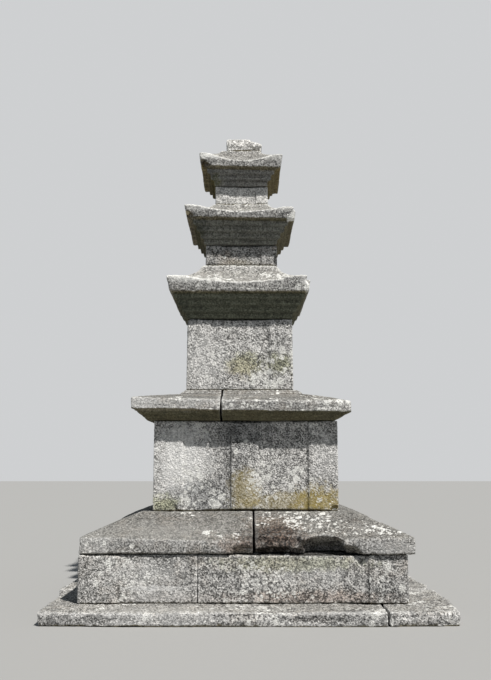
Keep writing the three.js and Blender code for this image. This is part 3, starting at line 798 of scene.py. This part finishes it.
def weather_group():
    """Where weather works: dark crust, rain streaks, warm clouds, and faces turned up or down."""
    board, source, end = new_tree("Weathering", "ShaderNodeTree", (
        ("Vector", "Vector"), ("Sheltered Below", "Float"), ("Middle X", "Float"),
    ), ((name, "Float") for name in (
        "Crust", "Streaks", "Warm", "Beds", "Sheltered", "Up", "Down", "Crown", "Sides", "Soffit",
        "Treads",
    )))
    vector = source["Vector"]
    across, depth, level = board.add("ShaderNodeSeparateXYZ", {0: vector}).outputs

    # Clouds, streaks and beds
    crust = board.noise(vector, *CRUST)
    board.feed(end["Crust"], board.ramp(crust, 0.48, 0.66))
    long_ways = board.vector("MULTIPLY", vector, RAIN_STREAKS)
    board.feed(end["Streaks"], board.ramp(board.noise(long_ways, 1.6, 6.0, 0.68), 0.46, 0.66))
    elsewhere = board.vector("ADD", vector, (3.0, 1.0, 7.0))
    board.feed(end["Warm"], board.ramp(board.noise(elsewhere, *WARM_CLOUDS), 0.45, 0.7))
    layered = board.vector("MULTIPLY", vector, THIN_BEDS)
    board.feed(end["Beds"], board.ramp(board.noise(layered, 1.0, 5.0, 0.65), 0.47, 0.62))

    # Where no rain falls, with a ragged upper edge
    ragged = board.times(board.minus(board.noise(vector, *SHELTER_RIM), 0.5), 0.03)
    under = board.minus(board.plus(level, ragged), source["Sheltered Below"])
    sheltered = board.ramp(under, 0.008, -0.008)
    board.feed(end["Sheltered"], sheltered)

    # The way a face is turned
    normal = board.add("ShaderNodeNewGeometry").outputs["Normal"]
    facing = board.add("ShaderNodeSeparateXYZ", {0: normal}).outputs[2]
    down = board.ramp(facing, -0.2, -0.75)
    board.feed(end["Up"], board.ramp(facing, 0.2, 0.85))
    board.feed(end["Down"], down)
    board.feed(end["Crown"], board.ramp(facing, 0.02, 0.35))

    # A roof's sides, and in front the soffit of its eave and the treads of the steps below
    out_x = board.math("ABSOLUTE", board.minus(across, source["Middle X"]))
    beside = board.ramp(board.minus(out_x, board.math("ABSOLUTE", depth)), -0.006, 0.006)
    board.feed(end["Sides"], board.times(beside, board.math("MAXIMUM", sheltered, down)))
    down_in_front = board.times(down, board.minus(1.0, beside))
    soffit = board.times(down_in_front, board.ramp(under, -0.034, -0.022))
    board.feed(end["Soffit"], soffit)
    board.feed(end["Treads"], board.minus(down_in_front, soffit))
    return board.tree


def granite_for(course):
    """The granite of one course, with its own stains."""
    name = f"{course}_granite"
    if name in bpy.data.materials:
        return bpy.data.materials[name]
    colours = bpy.context.scene.pagoda_colours
    look = LOOKS[course]
    roof = dict(zip(ROOF_SIZES, ROOFS.get(course, ())))
    granite = bpy.data.materials.new(name)
    granite.use_nodes = True
    granite.node_tree.nodes.clear()
    board = Board(granite.node_tree)
    vector = board.add("ShaderNodeTexCoord").outputs["Object"]

    def group(name, build, inputs):
        tree = tree_named(name, build)
        return board.add("ShaderNodeGroup", {"Vector": vector, **inputs}, node_tree=tree).outputs

    def colour(label):
        return (*getattr(colours, label), 1.0)

    def cover(base, label, mask, strength):
        return board.tint(base, colour(label), board.times(mask, strength))

    def wash(base, label, mask, strength):
        return board.tint(base, colour(label), board.times(mask, strength), "MULTIPLY")

    grain = group("Granite grain", speckle_group, {"Strokes": look.get("strokes", 0.0)})
    weather = group("Weathering", weather_group, {
        "Sheltered Below": roof.get("Eave Bottom", look.get("sheltered", 0.0)),
        "Middle X": roof.get("Middle X", 0.0),
    })
    arris = board.add("ShaderNodeAttribute", attribute_name="arris").outputs["Fac"]
    hollow = board.add("ShaderNodeAttribute", attribute_name="hollow").outputs["Fac"]

    # The stone itself, whose grain shows less where no rain falls, and what lies all over it
    open_air = board.minus(1.0, weather["Sheltered"])
    contrast = board.times(board.plus(board.times(open_air, 0.4), 0.6), look["grain"])
    grains = board.tint(colour("dark_grain"), colour("pale_grain"), grain["Tone"])
    base = board.tint(colour("middle_grain"), grains, contrast)
    # Dark mica flecks and painted shade in pits
    base = cover(base, "flecks", grain["Flecks"], FLECK_SHARE * look["grain"])
    base = wash(base, "warm", weather["Warm"], look["warm"])
    base = wash(base, "crust", weather["Crust"], look["crust"])
    base = wash(base, "crust", weather["Streaks"], STREAK_SHARE * look["streaks"])
    base = wash(base, "crust", weather["Beds"], look.get("beds", 0.0))

    # Stains in their places
    zone, blooms = None, []
    for kind, middle, half_sizes, strength in STAINS.get(course, ()):
        mask = group("Placed stain", stain_group, {
            "Middle": middle, "Half Sizes": half_sizes, "Strength": strength,
        })["Mask"]
        if kind == "lichen":
            zone = mask if zone is None else board.plus(zone, mask)
        elif kind == "bloom":
            blooms.append(mask)
        elif kind == "pale":
            base = board.tint(base, board.tint(colour("pale"), base, 0.35), mask)
        # Painted shade in the pits of a rough broken skin
        elif kind == "pitted":
            base = cover(base, "flecks", mask, grain["Pits"])
        elif kind == "ochre":
            base = cover(base, "ochre", mask, OCHRE_SHARE)
        else:
            base = board.tint(base, colour(kind), mask, "MULTIPLY")

    # Faces that look up, the course's shade, lichen, arrises made pale partly by wear and partly as
    # a painted highlight, and hollows
    # Faces that look up are made darker by the course's tops factor
    tops = look.get("tops", 1.0)
    top_shade = (*(value * tops for value in colours.top_shade), 1.0)
    base = board.tint(base, top_shade, weather["Up"], "MULTIPLY")
    shade = look["shade"]
    base = board.tint(base, (shade, shade, shade, 1.0), 1.0, "MULTIPLY")
    rosettes = []
    for scale, least, strength in LICHENS:
        rosettes.append(group("Lichen rosettes", lichen_group, {
            "Scale": scale, "Cover": least + look["lichen"], "Zone": zone,
        })["Mask"])
        base = cover(base, "lichen", board.times(rosettes[-1], open_air), strength)
    # Pale arrises: partly wear, partly a painted highlight along the lit edges
    base = cover(base, "pale", arris, look.get("arris", ARRIS_HIGHLIGHT_SHARE) * shade)
    base = cover(base, "lichen", board.times(arris, weather["Crown"]), look.get("caps", 0.0))
    base = wash(base, "crust", hollow, HOLLOW_SHARE)

    # Dirt with painted shade where no rain falls, olive film on a roof's sides, moisture with
    # painted shade on faces that look down, painted shade on treads, and blooms over them
    # Painted shade, partly dirt, on everything below the eave or soffit
    base = wash(base, "sheltered", weather["Sheltered"], look.get("grime_and_shade", 0.0))
    if roof:
        base = wash(base, "algae", weather["Sides"], look["algae"])
        # Painted shade under the treads of the underside steps
        base = wash(base, "crevice_dirt_and_shade", weather["Treads"], TREAD_SHADE_SHARE)
        layers = board.times(weather["Beds"], weather["Sheltered"])
        base = wash(base, "crust", layers, LAYER_SHARE)
        # Moisture and painted shade on the eave's soffit
        base = board.tint(base, colour("under_shade"), weather["Soffit"], "MULTIPLY")
    else:
        # Moisture and painted shade on faces that look down
        base = wash(base, "under_shade", weather["Down"], look.get("under", 1.0))
    for mask in blooms:
        base = board.tint(base, colour("lichen"), mask)

    relief = board.plus(grain["Height"], board.times(rosettes[0], LICHEN_RELIEF))
    bump = board.add("ShaderNodeBump", {
        "Strength": 1.0, "Distance": SURFACE_DEPTH * look["grain"], "Height": relief,
    })
    surface = board.add("ShaderNodeBsdfPrincipled", {
        "Base Color": base, "Roughness": board.ramp(grain["Tone"], 0.0, 1.0, 0.95, 0.82),
        "Specular IOR Level": 0.25, "Normal": bump.outputs["Normal"],
    })
    board.add("ShaderNodeOutputMaterial", {"Surface": surface.outputs[0]})
    return granite


# Settings

def factor(name, description, default, low, high):
    return FloatProperty(
        name=name, description=description, default=default, min=low, max=high, subtype="FACTOR",
    )


def paint(name, description, default):
    return FloatVectorProperty(
        name=name, description=description, default=default, subtype="COLOR", min=0.0, max=1.0,
    )


class PagodaWeather(bpy.types.PropertyGroup):
    """How finely the stones are cut and how far they have weathered."""

    cell_scale: factor("Cell Size", "Size of a stone's cells against its course's own", 1, 0.5, 4)
    wear: factor("Wear", "Rounding, chips, swells and beds against its course's own", 1, 0, 2)
    roughness: factor("Grain", "Depth of the pitted skin against its course's own", 1, 0, 2)
    kept_faces: factor("Kept Faces", "Share of a stone's faces that is kept", 0.5, 0.05, 1)


class PagodaColours(bpy.types.PropertyGroup):
    """Colours of the granite and of what grows on it."""

    pale_grain: paint("Pale Grain", "Feldspar and quartz in clean stone", (0.71, 0.70, 0.68))
    middle_grain: paint("Middle Grain", "The stone's colour from a distance", (0.38, 0.375, 0.36))
    dark_grain: paint("Dark Grain", "The darker grains between them", (0.10, 0.10, 0.096))
    # Dark mica flecks, and painted shade in the bottoms of pits
    flecks: paint("Flecks", "Mica flecks and the bottoms of pits", (0.05, 0.05, 0.05))
    warm: paint("Warm", "Rust-brown clouding", (0.88, 0.78, 0.68))
    crust: paint("Crust", "Dark weathering crust", (0.50, 0.50, 0.51))
    lichen: paint("Lichen", "Pale crusts of lichen", (0.70, 0.70, 0.67))
    ochre: paint("Ochre", "Yellow lichen", (0.26, 0.205, 0.065))
    moss: paint("Moss", "Olive film of algae and moss", (0.70, 0.72, 0.48))
    # Dark wet patches, and also painted shade on the roofs' left sides and in the upper wall's
    # shadow band
    damp_and_shade: paint("Damp", "Damp dark patches", (0.52, 0.53, 0.54))
    rust: paint("Rust", "Pinkish brown patches", (0.80, 0.66, 0.58))
    # Also lightens the arrises, partly as a painted highlight
    pale: paint("Bleached", "Rain-washed pale patches", (0.74, 0.74, 0.73))
    # Painted shade under the eaves, partly dirt
    sheltered: paint("Sheltered", "Grime where no rain falls", (0.46, 0.49, 0.37))
    algae: paint("Algae", "Olive film under the side eaves", (0.78, 0.64, 0.33))
    # Painted shadow and shade: thin shadows along pillar edges, the dark inside broken recesses and
    # under step treads; the fainter lines on lit edges are corner dirt
    crevice_dirt_and_shade: paint("Crevices", "Dark lines along pillar edges", (0.36, 0.36, 0.36))
    # Makes faces that look up darker
    top_shade: paint("Tops", "What rain and dust do to faces that look up", (0.76, 0.75, 0.72))
    # Moisture and painted shade on faces that look down
    under_shade: paint("Undersides", "What damp does to faces that look down", (0.62, 0.56, 0.40))


# Operators

class PAGODA_OT_ground_stones(bpy.types.Operator):
    """Weather the ring of ground stones"""

    bl_idname = "pagoda.ground_stones"
    bl_label = "Ground Stones"

    def execute(self, _context):
        carve_course("ground_stone")
        return {"FINISHED"}


class PAGODA_OT_wall_slabs(bpy.types.Operator):
    """Weather the wall slabs of the lower and upper base"""

    bl_idname = "pagoda.wall_slabs"
    bl_label = "Wall Slabs"

    def execute(self, _context):
        carve_course("lower_wall", "upper_wall")
        return {"FINISHED"}


class PAGODA_OT_cover_stones(bpy.types.Operator):
    """Weather the cover stones of both bases"""

    bl_idname = "pagoda.cover_stones"
    bl_label = "Cover Stones"

    def execute(self, _context):
        carve_course("lower_cover", "upper_cover")
        return {"FINISHED"}


class PAGODA_OT_storey_bodies(bpy.types.Operator):
    """Weather the bodies of the three storeys"""

    bl_idname = "pagoda.storey_bodies"
    bl_label = "Storey Bodies"

    def execute(self, _context):
        carve_course("first_body", "second_body", "third_body")
        return {"FINISHED"}


class PAGODA_OT_roof_stones(bpy.types.Operator):
    """Carve the roof stones by their rule, break their corners and weather them"""

    bl_idname = "pagoda.roof_stones"
    bl_label = "Roof Stones"

    def execute(self, _context):
        for node, sizes in ROOFS.items():
            empty = bpy.data.meshes.new(f"{node}_blank")
            weathered_stone(node, empty, dict(zip(ROOF_SIZES, sizes)))
        return {"FINISHED"}


class PAGODA_OT_finial_base(bpy.types.Operator):
    """Weather the finial base"""

    bl_idname = "pagoda.finial_base"
    bl_label = "Finial Base"

    def execute(self, _context):
        carve_course("finial_base")
        return {"FINISHED"}


class PAGODA_OT_stage(bpy.types.Operator):
    """Lay the floor and set the lights and the camera"""

    bl_idname = "pagoda.stage"
    bl_label = "Stage"

    def execute(self, context):
        scene = context.scene
        half = FLOOR_HALF
        corners = [(-half, -half, 0), (half, -half, 0), (half, half, 0), (-half, half, 0)]
        mesh = bpy.data.meshes.new("floor")
        mesh.from_pydata(corners, [], [(0, 1, 2, 3)])
        floor = new_object("floor", mesh)
        coat = bpy.data.materials.new("floor_paint")
        coat.use_nodes = True
        shader = coat.node_tree.nodes["Principled BSDF"]
        shader.inputs["Base Color"].default_value = FLOOR_COLOUR
        shader.inputs["Roughness"].default_value = 0.9
        mesh.materials.append(coat)

        world = bpy.data.worlds.new("studio")
        world.use_nodes = True
        sky = world.node_tree.nodes["Background"]
        sky.inputs["Color"].default_value = SKY_COLOUR
        sky.inputs["Strength"].default_value = SKY_STRENGTH
        seen = Board(world.node_tree)
        backdrop = seen.add("ShaderNodeBackground", {"Color": BACKDROP_COLOUR, "Strength": 1.0})
        pick = seen.add("ShaderNodeMixShader", {
            0: seen.add("ShaderNodeLightPath").outputs["Is Camera Ray"],
            1: sky.outputs[0], 2: backdrop.outputs[0],
        })
        seen.feed(world.node_tree.nodes["World Output"].inputs["Surface"], pick.outputs[0])
        scene.world = world

        key = bpy.data.lights.new("key", "SUN")
        key.energy = KEY_STRENGTH
        key.angle = math.radians(KEY_SPREAD)
        key.color = KEY_COLOUR
        lamp = bpy.data.objects.new("key", key)
        lamp.rotation_euler = (math.radians(90.0 - KEY_HEIGHT), 0.0, math.radians(KEY_SIDE))
        scene.collection.objects.link(lamp)

        lens = bpy.data.cameras.new("camera")
        lens.sensor_width = SENSOR
        lens.lens = SENSOR * FOCAL_PIXELS / PICTURE_HEIGHT
        camera = bpy.data.objects.new("camera", lens)
        camera.location = CAMERA_PLACE
        pitch = math.atan(HORIZON_PIXELS / FOCAL_PIXELS)
        camera.rotation_euler = (math.pi / 2 + pitch, 0.0, 0.0)
        scene.collection.objects.link(camera)
        scene.camera = camera
        scene.view_settings.view_transform = "Standard"
        return {"FINISHED"}


STEPS = (
    PAGODA_OT_ground_stones, PAGODA_OT_wall_slabs, PAGODA_OT_cover_stones, PAGODA_OT_storey_bodies,
    PAGODA_OT_roof_stones, PAGODA_OT_finial_base, PAGODA_OT_stage,
)


class PAGODA_PT_panel(bpy.types.Panel):
    """The steps and settings of the pagoda"""

    bl_idname = "PAGODA_PT_panel"
    bl_label = "Granite Pagoda"
    bl_space_type = "VIEW_3D"
    bl_region_type = "UI"
    bl_category = "Pagoda"

    def draw(self, context):
        for group in (context.scene.pagoda_weather, context.scene.pagoda_colours):
            box = self.layout.box()
            for name in group.__annotations__:
                box.prop(group, name)
        for operator in STEPS:
            self.layout.operator(operator.bl_idname)


CLASSES = (PagodaWeather, PagodaColours, *STEPS, PAGODA_PT_panel)


def register():
    for part in CLASSES:
        bpy.utils.register_class(part)
    bpy.types.Scene.pagoda_weather = PointerProperty(type=PagodaWeather)
    bpy.types.Scene.pagoda_colours = PointerProperty(type=PagodaColours)


def unregister():
    del bpy.types.Scene.pagoda_colours
    del bpy.types.Scene.pagoda_weather
    for part in reversed(CLASSES):
        bpy.utils.unregister_class(part)


def main():
    register()
    for operator in STEPS:
        group, name = operator.bl_idname.split(".")
        getattr(getattr(bpy.ops, group), name)()


if __name__ == "__main__":
    main()
